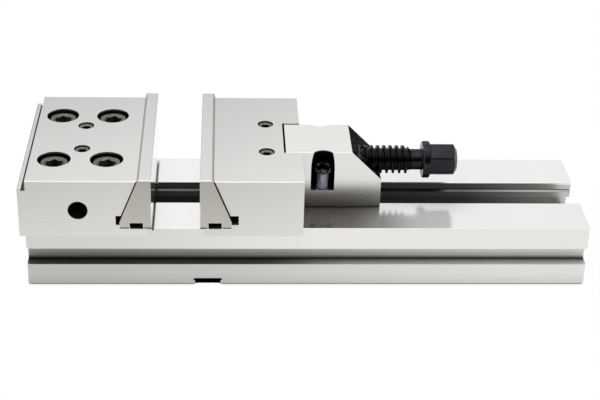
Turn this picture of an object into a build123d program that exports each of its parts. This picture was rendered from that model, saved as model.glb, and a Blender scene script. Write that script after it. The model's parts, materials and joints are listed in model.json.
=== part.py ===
from build123d import *
from math import cos, radians, sin, sqrt, tan
import os

# Precision machine vise, all lengths in millimetres.
# The origin is the middle of the underside. X runs from the fixed jaw to the spindle,
# the near side is -Y, and Z is up.

os.makedirs("parts", exist_ok=True)

# Fits used all over the vise
SLIDE_FIT = 0.05
THREAD_FIT = 0.05
LOOSE_FIT = 0.3
EDGE_BREAK = 0.5
TAP_RUNOUT = 1.0

# An edge counts as slanted from this share of its direction on
SLANT = 0.1

# Base with its two rails
BASE_LENGTH = 350.0
BASE_WIDTH = 95.0
BASE_HEIGHT = 40.0
BASE_END_CHAMFER = 1.2
CHANNEL_WIDTH = 28.0
CHANNEL_FLOOR_GAP = 1.45
T_SLOT_WIDTH = 45.0
LIP_HEIGHT = 10.5
LIP_GROOVE_DROP = 3.9
LIP_GROOVE_DEPTH = 1.5
SIDE_GROOVE_DEPTH = 8.0
SIDE_GROOVE_BOTTOM = 14.3
SIDE_GROOVE_HEIGHT = 11.2
KEYWAY_WIDTH = 16.0
KEYWAY_DEPTH = 4.2
KEYWAY_RELIEF = 0.8
KEYWAY_FROM_END = 111.7
SEAT_RELIEF_WIDTH = 1.3
SEAT_RELIEF_DEPTH = 1.5

# Both jaws
JAW_WIDTH = 125.0
JAW_RISE = 39.0
WING_LIFT = 1.5
FIXED_FACE_FROM_END = 78.0
REST_OPENING = 29.4
SEAT_RISE = 8.3
SEAT_SHORT = 2.2
SEAT_CHAMFER = 1.0

# Wedge-backed jaw plates, and the corner behind them
PLATE_OVERHANG = 2.5
PLATE_PROUD = 2.0
PLATE_TOP_THICKNESS = 7.4
PLATE_FOOT_THICKNESS = 19.0
PLATE_HEEL_HEIGHT = 4.1
PLATE_NOTCH_WIDTH = 8.0
PLATE_NOTCH_HEIGHT = 3.8
PLATE_NOTCH_FROM_FACE = 5.0
PLATE_NOTCH_CHAMFER = 0.8
SLOPE_GAP = 0.1
SEAT_GROOVE_DEPTH = 1.6
HEEL_WALL_HEIGHT = 1.1
HEEL_RELIEF_HEIGHT = 6.2
FIXED_RELIEF_DEPTH = 2.5
MOVING_RELIEF_DEPTH = 4.3

# Pull studs and the set screws that hold the jaw plates
STUD_DIAMETER = 12.0
STUD_RISE = 17.5
STUD_GRIP = 12.0
STUD_TAIL = 7.0
STUD_RAMP_ANGLE = 20.0
SET_SCREW_SIZE = 10.0
SET_SCREW_RECESS = 0.8
SET_SCREW_BITE = 2.8
FIXED_STUD_SPACING = 32.8
MOVING_STUD_SPACING = 39.4
MOVING_STUD_FROM_FACE = 40.8

# Fixed jaw
REAR_OVERHANG = 1.6
REAR_STEP_WIDTH = 4.8
REAR_STEP_DROP = 5.0
REAR_GROOVE_WIDTH = 2.3
REAR_GROOVE_DEPTH = 1.2
CAP_SCREW_FROM_END = 18.0
CAP_SCREW_PITCH = 32.0
CAP_SCREW_SPACING = 62.0
CAP_SCREW_SIZE = 12.0
CAP_SCREW_HOLE = 13.5
CAP_SCREW_RECESS = 2.0
CAP_SCREW_GRIP = 20.0
COUNTERBORE_DIAMETER = 20.5
CROSS_KEY_WIDTH = 12.0
CROSS_KEY_HEIGHT = 8.0
CROSS_KEY_LENGTH = 84.0
FIXED_TONGUE_LENGTH = 59.0
FIXED_TONGUE_DEPTH = 5.0
STOP_BORE_DIAMETER = 12.0
STOP_BORE_DEPTH = 22.0
STOP_BORE_RISE = 19.3

# Movable jaw and the strip that holds it down
MOVING_BODY_LENGTH = 62.6
NOTCH_DEPTH = 11.1
NOTCH_SIDE_GAP = 1.0
TONGUE_FROM_FACE = 12.0
TONGUE_LENGTH = 38.0
HOLD_DOWN_THICKNESS = 8.0
HOLD_DOWN_SCREW_SIZE = 6.0
HOLD_DOWN_SCREW_PITCH = 22.0
HOLD_DOWN_SCREW_GRIP = 8.0

# Spindle, its thrust pad and the two pins that hold it in the movable jaw
SPINDLE_RISE = 24.1
THREAD_DIAMETER = 18.0
THREAD_OUT = 18.1
JOURNAL_DIAMETER = 13.2
JOURNAL_BORE = 14.5
JOURNAL_NOSE = 8.5
JOURNAL_OUT = 3.3
PIN_GROOVE_DIAMETER = 9.8
PIN_DIAMETER = 5.0
PIN_FROM_NOTCH = 6.2
PIN_ABOVE_AXIS = 10.0
THRUST_PAD_THICKNESS = 6.0
NECK_LENGTH = 9.4
COLLAR_DIAMETER = 23.5
COLLAR_LENGTH = 4.6
HEX_ACROSS_FLATS = 19.0
HEX_LENGTH = 17.4
HEX_END_LENGTH = 2.4
HEX_END_DROP = 3.8

# Nut block, its anchor and its two inclined lock screws
BLOCK_GAP = 1.3
BLOCK_WIDTH = 40.0
BLOCK_LENGTH = 60.2
BLOCK_DROP = 0.2
BLOCK_SLOPE = 18.9
ANCHOR_LENGTH = 48.0
ANCHOR_CLAW_HEIGHT = 11.5
ANCHOR_NECK_RISE = 6.0
ANCHOR_TRAVEL = 0.4
LOCK_SCREW_TILT = 22.0
LOCK_SCREW_FROM_FRONT = 23.3
LOCK_SCREW_RISE = 28.75
LOCK_SCREW_OUT = 0.8
LOCK_POCKET_WIDTH = 14.8
LOCK_HEAD_DIAMETER = 10.0
LOCK_HEAD_LENGTH = 15.8
LOCK_SHANK_DIAMETER = 6.0
LOCK_SHANK_LENGTH = 20.0
LOCK_SOCKET_WIDTH = 7.0
LOCK_SOCKET_DEPTH = 6.0

# Positions along the base
rear_face = -(BASE_LENGTH + REAR_OVERHANG) / 2
base_left = rear_face + REAR_OVERHANG
base_right = base_left + BASE_LENGTH
base_middle = (base_left + base_right) / 2
keyway_x = base_left + KEYWAY_FROM_END
cross_key_x = base_left + CAP_SCREW_FROM_END + CAP_SCREW_PITCH / 2
fixed_face = base_left + FIXED_FACE_FROM_END
moving_face = fixed_face + REST_OPENING
moving_screw_x = moving_face + MOVING_STUD_FROM_FACE
tongue_x = moving_face + TONGUE_FROM_FACE + TONGUE_LENGTH / 2
body_right = moving_face + MOVING_BODY_LENGTH
notch_wall = body_right - NOTCH_DEPTH
block_front = notch_wall + BLOCK_GAP
block_rear = block_front + BLOCK_LENGTH
block_x = (block_front + block_rear) / 2
lock_x = block_front + LOCK_SCREW_FROM_FRONT

# Heights above the underside
rail_top = BASE_HEIGHT
body_bottom = rail_top + SLIDE_FIT
lip_bottom = rail_top - LIP_HEIGHT
claw_top = lip_bottom - SLIDE_FIT
strip_bottom = claw_top - HOLD_DOWN_THICKNESS
channel_floor = strip_bottom - HOLD_DOWN_SCREW_SIZE - CHANNEL_FLOOR_GAP
wing_bottom = rail_top + WING_LIFT
seat = rail_top + SEAT_RISE
heel_top = seat + PLATE_HEEL_HEIGHT
relief_floor = seat + HEEL_WALL_HEIGHT
relief_top = relief_floor + HEEL_RELIEF_HEIGHT
stud_z = rail_top + STUD_RISE
spindle_z = rail_top + SPINDLE_RISE
lock_z = rail_top + LOCK_SCREW_RISE
jaw_top = rail_top + JAW_RISE
plate_top = jaw_top + PLATE_PROUD
block_top = jaw_top - BLOCK_DROP

# Widths and slopes shared by several sub-parts
jaw_body_width = JAW_WIDTH - 2 * PLATE_OVERHANG
tongue_width = CHANNEL_WIDTH - 2 * SLIDE_FIT
claw_width = T_SLOT_WIDTH - 2 * LOOSE_FIT
slope_run = (PLATE_FOOT_THICKNESS - PLATE_TOP_THICKNESS) / (plate_top - heel_top)


def slab(left, right, width, low, high, mode=Mode.ADD):
    """Box that lies across the centre line, between two X and two Z positions."""
    with Locations(((left + right) / 2, 0, (low + high) / 2)):
        Box(right - left, width, high - low, mode=mode)


def bars(plane, places, diameter, length, mode=Mode.ADD):
    """Round bars that start on a plane and follow its normal, added or cut away."""
    with BuildSketch(plane) as ends:
        with Locations(*places):
            Circle(diameter / 2)
    extrude(ends.sketch, amount=length, mode=mode)


def sockets(plane, places, width, depth):
    """Hexagon sockets sunk into the face that lies in a plane."""
    with BuildSketch(plane) as openings:
        with Locations(*places):
            RegularPolygon(width / 2, 6, major_radius=False)
    extrude(openings.sketch, amount=-depth, mode=Mode.SUBTRACT)


def cap_screws(plane, places, size, grip):
    """Socket cap screws that stand with their heads on a plane."""
    bars(plane, places, head_diameter(size), size)
    bars(plane, places, size, -grip)
    sockets(plane.offset(size), places, socket_width(size), size / 2)


def head_diameter(size):
    """Head of a socket cap screw."""
    return 1.5 * size


def socket_width(size):
    """Width across flats of a cap screw's socket."""
    return 0.8 * size


def set_screw_socket(size):
    """Width across flats of a set screw's socket."""
    return 0.5 * size


def four_around(x, pitch, spacing):
    """Corners of a rectangle on the centre line, in plan view."""
    return [(x + i * pitch / 2, j * spacing / 2) for i in (-1, 1) for j in (-1, 1)]


def pair_across(x, spacing):
    """Two points on both sides of the centre line, in plan view."""
    return [(x, -spacing / 2), (x, spacing / 2)]


def pair_facing(spacing, height):
    """Two points on both sides of the centre line, in a view along the vise."""
    return [(-spacing / 2, height), (spacing / 2, height)]


def plate_back(height):
    """Thickness of a jaw plate at a height above the underside of the vise."""
    return PLATE_TOP_THICKNESS + (plate_top - height) * slope_run


def plate_outline(face, way):
    """Side view of a jaw plate. Its body lies on the side of the face that way points to."""
    notch_near = face + way * PLATE_NOTCH_FROM_FACE
    notch_far = notch_near + way * PLATE_NOTCH_WIDTH
    flare = way * PLATE_NOTCH_CHAMFER
    return [
        (face, seat),
        (face, plate_top),
        (face + way * PLATE_TOP_THICKNESS, plate_top),
        (face + way * PLATE_FOOT_THICKNESS, heel_top),
        (face + way * PLATE_FOOT_THICKNESS, seat),
        (notch_far + flare, seat),
        (notch_far, seat + PLATE_NOTCH_CHAMFER),
        (notch_far, seat + PLATE_NOTCH_HEIGHT),
        (notch_near, seat + PLATE_NOTCH_HEIGHT),
        (notch_near, seat + PLATE_NOTCH_CHAMFER),
        (notch_near - flare, seat),
    ]


def jaw_front(face, way, relief_depth):
    """Front of a jaw body, from its underside up: seat, heel wall, corner relief, slope."""
    heel = face + way * PLATE_FOOT_THICKNESS
    seat_end = face + way * SEAT_SHORT
    groove_near = face + way * PLATE_NOTCH_FROM_FACE
    groove_far = groove_near + way * PLATE_NOTCH_WIDTH
    groove_floor = seat - SEAT_GROOVE_DEPTH
    return [
        (seat_end, wing_bottom),
        (seat_end, seat - SEAT_CHAMFER),
        (seat_end + way * 2 * SEAT_CHAMFER, seat),
        (groove_near, seat),
        (groove_near, groove_floor),
        (groove_far, groove_floor),
        (groove_far, seat),
        (heel, seat),
        (heel, relief_floor),
        (heel + way * relief_depth, relief_floor),
        (heel + way * relief_depth, relief_top),
        (face + way * (plate_back(relief_top) + SLOPE_GAP), relief_top),
        (face + way * (plate_back(jaw_top) + SLOPE_GAP), jaw_top),
    ]


def stud_seats(face, way, screw_x, spacing):
    """Cuts the bores of the pull studs, and the tapped holes of their set screws."""
    bore_end = screw_x + way * (STUD_TAIL + LOOSE_FIT)
    bars(
        Plane.YZ.offset(bore_end),
        pair_facing(spacing, stud_z),
        STUD_DIAMETER + 2 * LOOSE_FIT,
        face - bore_end,
        Mode.SUBTRACT,
    )
    bars(
        Plane.XY.offset(stud_z),
        pair_across(screw_x, spacing),
        SET_SCREW_SIZE + 2 * THREAD_FIT,
        JAW_RISE,
        Mode.SUBTRACT,
    )


def is_slanted(edge):
    """True for a straight edge that climbs along the vise."""
    direction = edge.tangent_at(0.5)
    return min(abs(direction.X), abs(direction.Z)) > SLANT


def break_edges(jaw):
    """Breaks the long edges of a jaw's top face, and both ends of the slope over its plate."""
    top_face = jaw.faces().sort_by(Axis.Z)[-1]
    long_edges = top_face.outer_wire().edges().filter_by(Axis.X)
    slope_ends = jaw.edges().filter_by(is_slanted).sort_by(SortBy.LENGTH)[-2:]
    chamfer(long_edges + slope_ends, EDGE_BREAK)


# Base
with BuildPart() as base:
    with BuildSketch() as footprint:
        with Locations((base_middle, 0)):
            Rectangle(BASE_LENGTH, BASE_WIDTH)
        chamfer(footprint.vertices(), BASE_END_CHAMFER)
    extrude(amount=BASE_HEIGHT)

    # Channel between the rails, wider below the lips, and the clamping groove in each side
    slab(base_left, base_right, CHANNEL_WIDTH, channel_floor, rail_top, Mode.SUBTRACT)
    slab(base_left, base_right, T_SLOT_WIDTH, channel_floor, lip_bottom, Mode.SUBTRACT)
    for side in (-1, 1):
        with Locations((base_middle, side * BASE_WIDTH / 2, SIDE_GROOVE_BOTTOM + SIDE_GROOVE_HEIGHT / 2)):
            Box(BASE_LENGTH, 2 * SIDE_GROOVE_DEPTH, SIDE_GROOVE_HEIGHT, mode=Mode.SUBTRACT)
    long_edges = base.edges().filter_by(Axis.X).group_by(Axis.Z)
    chamfer(long_edges[0] + long_edges[-1], EDGE_BREAK)

    # Grinding groove along the inner wall of each rail
    with BuildSketch(Plane.YZ.offset(base_left)):
        for side in (-1, 1):
            lip = side * CHANNEL_WIDTH / 2
            groove_wall = lip + side * LIP_GROOVE_DEPTH
            groove_top = rail_top - LIP_GROOVE_DROP
            with BuildLine():
                Polyline(
                    (lip, groove_top),
                    (groove_wall, groove_top),
                    (groove_wall, groove_top - LIP_GROOVE_DEPTH),
                    (lip, groove_top - 2 * LIP_GROOVE_DEPTH),
                    close=True,
                )
            make_face()
    extrude(amount=BASE_LENGTH, mode=Mode.SUBTRACT)

    # Relief groove across both rails, where the ground seat of the fixed jaw ends
    slab(
        fixed_face - SEAT_RELIEF_WIDTH / 2,
        fixed_face + SEAT_RELIEF_WIDTH / 2,
        BASE_WIDTH,
        rail_top - SEAT_RELIEF_DEPTH,
        rail_top,
        Mode.SUBTRACT,
    )

    # Keyway across the underside, with a small relief in both of its corners
    keyway_left = keyway_x - KEYWAY_WIDTH / 2
    keyway_right = keyway_x + KEYWAY_WIDTH / 2
    slab(keyway_left, keyway_right, BASE_WIDTH, 0, KEYWAY_DEPTH, Mode.SUBTRACT)
    slab(
        keyway_left - KEYWAY_RELIEF,
        keyway_left + KEYWAY_RELIEF,
        BASE_WIDTH,
        KEYWAY_DEPTH - 2 * KEYWAY_RELIEF,
        KEYWAY_DEPTH,
        Mode.SUBTRACT,
    )
    slab(
        keyway_right - KEYWAY_RELIEF,
        keyway_right + KEYWAY_RELIEF,
        BASE_WIDTH,
        KEYWAY_DEPTH - 2 * KEYWAY_RELIEF,
        KEYWAY_DEPTH,
        Mode.SUBTRACT,
    )

    # Pocket for the cross key, and the four tapped holes of the fixed jaw
    with Locations((cross_key_x, 0, rail_top)):
        Box(CROSS_KEY_WIDTH, CROSS_KEY_LENGTH, CROSS_KEY_HEIGHT, mode=Mode.SUBTRACT)
    cap_screw_places = four_around(cross_key_x, CAP_SCREW_PITCH, CAP_SCREW_SPACING)
    bars(
        Plane.XY.offset(rail_top),
        cap_screw_places,
        CAP_SCREW_SIZE + 2 * THREAD_FIT,
        -(CAP_SCREW_GRIP + TAP_RUNOUT),
        Mode.SUBTRACT,
    )
base.part.label = "base"
export_step(base.part, "parts/base.step")

# Fixed jaw
with BuildPart() as fixed_jaw:
    step_x = rear_face + REAR_STEP_WIDTH
    step_z = jaw_top - REAR_STEP_DROP
    with BuildSketch(Plane.XZ):
        with BuildLine():
            Polyline(
                (rear_face, wing_bottom),
                *jaw_front(fixed_face, -1, FIXED_RELIEF_DEPTH),
                (step_x, jaw_top),
                (step_x, step_z - REAR_GROOVE_DEPTH),
                (step_x - REAR_GROOVE_WIDTH, step_z - REAR_GROOVE_DEPTH),
                (step_x - REAR_GROOVE_WIDTH, step_z),
                (rear_face + EDGE_BREAK, step_z),
                (rear_face, step_z - EDGE_BREAK),
                close=True,
            )
        make_face()
    extrude(amount=jaw_body_width / 2, both=True)
    break_edges(fixed_jaw)

    # Foot between the wings, tongue that centres the jaw, and the pocket for the cross key
    slab(rear_face, fixed_face - SEAT_SHORT, BASE_WIDTH, rail_top, wing_bottom)
    slab(
        cross_key_x - FIXED_TONGUE_LENGTH / 2,
        cross_key_x + FIXED_TONGUE_LENGTH / 2,
        tongue_width,
        rail_top - FIXED_TONGUE_DEPTH,
        rail_top,
    )
    with Locations((cross_key_x, 0, rail_top)):
        Box(CROSS_KEY_WIDTH, CROSS_KEY_LENGTH, CROSS_KEY_HEIGHT + 2 * LOOSE_FIT, mode=Mode.SUBTRACT)

    # Counterbored holes for the four cap screws
    with Locations(Plane.XY.offset(jaw_top)):
        with Locations(*cap_screw_places):
            CounterBoreHole(
                CAP_SCREW_HOLE / 2,
                COUNTERBORE_DIAMETER / 2,
                CAP_SCREW_SIZE + CAP_SCREW_RECESS,
                depth=2 * JAW_RISE,
            )
    stud_seats(fixed_face, -1, cross_key_x, FIXED_STUD_SPACING)

    # A plain bore in each side for the rod of a work stop
    for side in (-1, 1):
        bars(
            Plane.XZ.offset(-side * jaw_body_width / 2),
            [(cross_key_x, rail_top + STOP_BORE_RISE)],
            STOP_BORE_DIAMETER,
            side * STOP_BORE_DEPTH,
            Mode.SUBTRACT,
        )
fixed_jaw.part.label = "fixed_jaw"
export_step(fixed_jaw.part, "parts/fixed_jaw.step")

# Cross key that takes the clamping force of the fixed jaw
with BuildPart() as fixed_jaw_cross_key:
    with Locations((cross_key_x, 0, rail_top)):
        Box(CROSS_KEY_WIDTH, CROSS_KEY_LENGTH, CROSS_KEY_HEIGHT)
    chamfer(fixed_jaw_cross_key.edges(), EDGE_BREAK)
fixed_jaw_cross_key.part.label = "fixed_jaw_cross_key"
export_step(fixed_jaw_cross_key.part, "parts/fixed_jaw_cross_key.step")

# Four cap screws of the fixed jaw
with BuildPart() as fixed_jaw_cap_screws:
    head_seat = jaw_top - CAP_SCREW_RECESS - CAP_SCREW_SIZE
    cap_screws(
        Plane.XY.offset(head_seat),
        cap_screw_places,
        CAP_SCREW_SIZE,
        head_seat - rail_top + CAP_SCREW_GRIP,
    )
fixed_jaw_cap_screws.part.label = "fixed_jaw_cap_screws"
export_step(fixed_jaw_cap_screws.part, "parts/fixed_jaw_cap_screws.step")

# Movable jaw
hold_down_places = [(tongue_x + i * HOLD_DOWN_SCREW_PITCH / 2, 0) for i in (-1, 1)]
tongue_left = tongue_x - TONGUE_LENGTH / 2
tongue_right = tongue_x + TONGUE_LENGTH / 2
pin_x = notch_wall - PIN_FROM_NOTCH
pin_places = pair_across(pin_x, PIN_GROOVE_DIAMETER + PIN_DIAMETER + 2 * SLIDE_FIT)
pin_top = spindle_z + PIN_ABOVE_AXIS
groove_left = pin_x - PIN_DIAMETER / 2 - SLIDE_FIT
groove_right = pin_x + PIN_DIAMETER / 2 + SLIDE_FIT
spindle_tip = groove_left - JOURNAL_NOSE
pad_face = spindle_tip - SLIDE_FIT
pad_back = pad_face - THRUST_PAD_THICKNESS
with BuildPart() as movable_jaw:
    with BuildSketch(Plane.XZ):
        with BuildLine():
            Polyline(
                *jaw_front(moving_face, 1, MOVING_RELIEF_DEPTH),
                (body_right, jaw_top),
                (body_right, wing_bottom),
                close=True,
            )
        make_face()
    extrude(amount=jaw_body_width / 2, both=True)
    break_edges(movable_jaw)

    # Foot that slides on the rails, and the tongue that runs in the channel
    slab(moving_face + SEAT_SHORT, body_right, BASE_WIDTH, body_bottom, wing_bottom)
    slab(tongue_left, tongue_right, tongue_width, claw_top, body_bottom)

    # Notch that takes the front of the nut block
    notch_width = BLOCK_WIDTH + 2 * NOTCH_SIDE_GAP
    slab(notch_wall, body_right, notch_width, body_bottom, jaw_top, Mode.SUBTRACT)

    # Bore of the spindle nose, which ends at the thrust pad, and the bores of its two pins
    bars(
        Plane.YZ.offset(notch_wall),
        [(0, spindle_z)],
        JOURNAL_BORE,
        pad_back - notch_wall,
        Mode.SUBTRACT,
    )
    bars(
        Plane.XY.offset(claw_top),
        pin_places,
        PIN_DIAMETER + 2 * SLIDE_FIT,
        pin_top + TAP_RUNOUT - claw_top,
        Mode.SUBTRACT,
    )
    stud_seats(moving_face, 1, moving_screw_x, MOVING_STUD_SPACING)

    # Tapped holes for the screws of the hold-down strip
    bars(
        Plane.XY.offset(claw_top),
        hold_down_places,
        HOLD_DOWN_SCREW_SIZE + 2 * THREAD_FIT,
        HOLD_DOWN_SCREW_GRIP + TAP_RUNOUT,
        Mode.SUBTRACT,
    )
movable_jaw.part.label = "movable_jaw"
export_step(movable_jaw.part, "parts/movable_jaw.step")

# Jaw plates with what holds them. A pull stud is screwed into the back of its plate, and a
# set screw from above presses on the ramp in the stud, so that the plate is drawn down on its
# seat and back against the heel wall.
set_screw_top = jaw_top - SET_SCREW_RECESS
set_screw_end = stud_z + STUD_DIAMETER / 2 - SET_SCREW_BITE

for jaw, face, way, screw_x, spacing in (
    ("fixed", fixed_face, -1, cross_key_x, FIXED_STUD_SPACING),
    ("movable", moving_face, 1, moving_screw_x, MOVING_STUD_SPACING),
):
    stud_root = face + way * (plate_back(stud_z) - STUD_GRIP)
    stud_end = screw_x + way * STUD_TAIL
    stud_places = pair_facing(spacing, stud_z)
    screw_places = pair_across(screw_x, spacing)
    ramp_foot = screw_x - way * (SET_SCREW_SIZE / 2 + LOOSE_FIT)
    ramp_head = stud_end + way * LOOSE_FIT
    ramp_touch = set_screw_end - THREAD_FIT
    ramp_slope = tan(radians(STUD_RAMP_ANGLE))
    ramp_low = ramp_touch - (SET_SCREW_SIZE + LOOSE_FIT) * ramp_slope
    ramp_high = ramp_low + abs(ramp_head - ramp_foot) * ramp_slope

    with BuildPart() as jaw_plate:
        with BuildSketch(Plane.XZ):
            with BuildLine():
                Polyline(*plate_outline(face, way), close=True)
            make_face()
        extrude(amount=JAW_WIDTH / 2, both=True)
        chamfer(jaw_plate.edges().group_by(Axis.Z)[-1], EDGE_BREAK)
        bars(
            Plane.YZ.offset(stud_root),
            stud_places,
            STUD_DIAMETER + 2 * THREAD_FIT,
            way * PLATE_FOOT_THICKNESS,
            Mode.SUBTRACT,
        )
    jaw_plate.part.label = f"{jaw}_jaw_plate"
    export_step(jaw_plate.part, f"parts/{jaw}_jaw_plate.step")

    with BuildPart() as set_screws:
        bars(
            Plane.XY.offset(set_screw_end),
            screw_places,
            SET_SCREW_SIZE,
            set_screw_top - set_screw_end,
        )
        socket = set_screw_socket(SET_SCREW_SIZE)
        sockets(Plane.XY.offset(set_screw_top), screw_places, socket, socket)
    set_screws.part.label = f"{jaw}_plate_set_screws"
    export_step(set_screws.part, f"parts/{jaw}_plate_set_screws.step")

    with BuildPart() as pull_studs:
        bars(Plane.YZ.offset(stud_root), stud_places, STUD_DIAMETER, stud_end - stud_root)
        with BuildSketch(Plane.XZ):
            with BuildLine():
                Polyline(
                    (ramp_foot, stud_z + STUD_DIAMETER),
                    (ramp_foot, ramp_low),
                    (ramp_head, ramp_high),
                    (ramp_head, stud_z + STUD_DIAMETER),
                    close=True,
                )
            make_face()
        extrude(amount=JAW_WIDTH / 2, both=True, mode=Mode.SUBTRACT)
    pull_studs.part.label = f"{jaw}_plate_pull_studs"
    export_step(pull_studs.part, f"parts/{jaw}_plate_pull_studs.step")

# Strip under the rail lips that stops the movable jaw from lifting
with BuildPart() as jaw_hold_down_strip:
    slab(tongue_left, tongue_right, claw_width, strip_bottom, claw_top)
    bars(
        Plane.XY.offset(strip_bottom),
        hold_down_places,
        HOLD_DOWN_SCREW_SIZE + 2 * LOOSE_FIT,
        HOLD_DOWN_THICKNESS,
        Mode.SUBTRACT,
    )
jaw_hold_down_strip.part.label = "jaw_hold_down_strip"
export_step(jaw_hold_down_strip.part, "parts/jaw_hold_down_strip.step")

# Two cap screws of the hold-down strip, put in from below
with BuildPart() as hold_down_screws:
    cap_screws(
        Plane((0, 0, strip_bottom), x_dir=(1, 0, 0), z_dir=(0, 0, -1)),
        hold_down_places,
        HOLD_DOWN_SCREW_SIZE,
        HOLD_DOWN_THICKNESS + HOLD_DOWN_SCREW_GRIP,
    )
hold_down_screws.part.label = "hold_down_screws"
export_step(hold_down_screws.part, "parts/hold_down_screws.step")

# Hardened thrust pad at the bottom of the spindle bore, which the spindle nose presses on
with BuildPart() as thrust_pad:
    bars(
        Plane.YZ.offset(pad_back),
        [(0, spindle_z)],
        JOURNAL_BORE - 2 * SLIDE_FIT,
        THRUST_PAD_THICKNESS,
    )
thrust_pad.part.label = "thrust_pad"
export_step(thrust_pad.part, "parts/thrust_pad.step")

# Two pins that cross the groove of the spindle nose, so that the spindle pulls the jaw back.
# They are put in from below, and the hold-down strip keeps them there.
with BuildPart() as spindle_retaining_pins:
    bars(Plane.XY.offset(claw_top), pin_places, PIN_DIAMETER, pin_top - claw_top)
spindle_retaining_pins.part.label = "spindle_retaining_pins"
export_step(spindle_retaining_pins.part, "parts/spindle_retaining_pins.step")


def lock_plane(side):
    """Plane of a lock screw's head. Its normal leans outwards, away from the spindle."""
    tilt = radians(LOCK_SCREW_TILT)
    centre = (lock_x, side * (BLOCK_WIDTH / 2 + LOCK_SCREW_OUT), lock_z)
    return Plane(centre, x_dir=(1, 0, 0), z_dir=(0, side * sin(tilt), cos(tilt)))


# Nut block
with BuildPart() as nut_block:
    with BuildSketch(Plane.XZ):
        with BuildLine():
            Polyline(
                (block_front, body_bottom),
                (block_rear, body_bottom),
                (block_rear, block_top - BLOCK_SLOPE),
                (block_rear - BLOCK_SLOPE, block_top),
                (block_front, block_top),
                close=True,
            )
        make_face()
    extrude(amount=BLOCK_WIDTH / 2, both=True)
    chamfer(nut_block.edges().filter_by(Axis.X), EDGE_BREAK)

    # Tapped bore of the spindle, and the closed slot in the underside for the anchor's neck
    bars(
        Plane.YZ.offset(block_front),
        [(0, spindle_z)],
        THREAD_DIAMETER + 2 * THREAD_FIT,
        BLOCK_LENGTH,
        Mode.SUBTRACT,
    )
    slab(
        block_x - ANCHOR_LENGTH / 2 - SLIDE_FIT,
        block_x + ANCHOR_LENGTH / 2 + SLIDE_FIT,
        CHANNEL_WIDTH,
        body_bottom,
        body_bottom + ANCHOR_NECK_RISE + ANCHOR_TRAVEL,
        Mode.SUBTRACT,
    )

    # Inclined pockets of the lock screws, open to the side and to the top. Each is a slot with a
    # round inner end, milled along the screw's axis.
    for side in (-1, 1):
        head_seat = lock_plane(side).offset(-LOCK_HEAD_LENGTH)
        with BuildSketch(head_seat) as pocket:
            Circle(LOCK_POCKET_WIDTH / 2)
            with Locations((0, side * BLOCK_WIDTH / 4)):
                Rectangle(LOCK_POCKET_WIDTH, BLOCK_WIDTH / 2)
        extrude(pocket.sketch, amount=3 * LOCK_HEAD_LENGTH, mode=Mode.SUBTRACT)
        bars(
            head_seat,
            [(0, 0)],
            LOCK_SHANK_DIAMETER + 2 * LOOSE_FIT,
            -LOCK_SHANK_LENGTH,
            Mode.SUBTRACT,
        )
nut_block.part.label = "nut_block"
export_step(nut_block.part, "parts/nut_block.step")

# T-shaped anchor of the nut block: its claws grip under both rail lips
with BuildPart() as block_anchor:
    anchor_left = block_x - ANCHOR_LENGTH / 2
    anchor_right = block_x + ANCHOR_LENGTH / 2
    slab(anchor_left, anchor_right, claw_width, claw_top - ANCHOR_CLAW_HEIGHT, claw_top)
    slab(anchor_left, anchor_right, tongue_width, claw_top, rail_top + ANCHOR_NECK_RISE)
    for side in (-1, 1):
        bars(
            lock_plane(side).offset(-LOCK_HEAD_LENGTH),
            [(0, 0)],
            LOCK_SHANK_DIAMETER + 2 * THREAD_FIT,
            -(LOCK_SHANK_LENGTH + LOOSE_FIT),
            Mode.SUBTRACT,
        )
block_anchor.part.label = "block_anchor"
export_step(block_anchor.part, "parts/block_anchor.step")

# Lock screws, one on each side of the nut block. Each pulls the anchor up against the lips.
for name, side in (("lock_screw_near", -1), ("lock_screw_far", 1)):
    head_top = lock_plane(side)
    head_seat = head_top.offset(-LOCK_HEAD_LENGTH)
    with BuildPart() as lock_screw:
        bars(head_seat, [(0, 0)], LOCK_HEAD_DIAMETER, LOCK_HEAD_LENGTH)
        bars(head_seat, [(0, 0)], LOCK_SHANK_DIAMETER, -LOCK_SHANK_LENGTH)
        sockets(head_top, [(0, 0)], LOCK_SOCKET_WIDTH, LOCK_SOCKET_DEPTH)
    lock_screw.part.label = name
    export_step(lock_screw.part, f"parts/{name}.step")

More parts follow.
